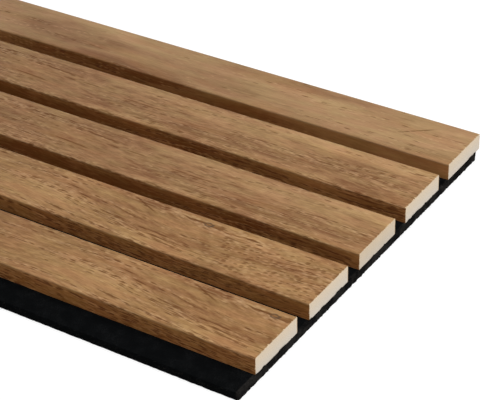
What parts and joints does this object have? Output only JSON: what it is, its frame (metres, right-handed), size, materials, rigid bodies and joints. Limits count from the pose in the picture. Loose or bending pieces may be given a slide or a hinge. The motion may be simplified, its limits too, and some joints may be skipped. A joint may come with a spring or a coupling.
{
  "type": "acoustic slat wall panel",
  "caption": "Long wall panel of parallel wood-grain slats bonded to a black sound-absorbing felt sheet, with a bare felt lap along one side that goes under the next panel.",
  "frame": {"origin": "middle of the panel's length and width, on the felt's back", "axes": "+X along the slats, +Y across them towards the slat that overhangs the felt, +Z out of the wall"},
  "size_m": [2.6, 0.305, 0.018],
  "materials": {
    "wood_decor": "satin",
    "raw_fibreboard": "matte",
    "felt": "matte"
  },
  "bodies": {
    "root": {"felt_backing": "felt", "slat_1_core": "raw_fibreboard", "slat_1_wrap": "wood_decor", "slat_2_core": "raw_fibreboard", "slat_2_wrap": "wood_decor", "slat_3_core": "raw_fibreboard", "slat_3_wrap": "wood_decor", "slat_4_core": "raw_fibreboard", "slat_4_wrap": "wood_decor", "slat_5_core": "raw_fibreboard", "slat_5_wrap": "wood_decor"}
  },
  "joints": []
}
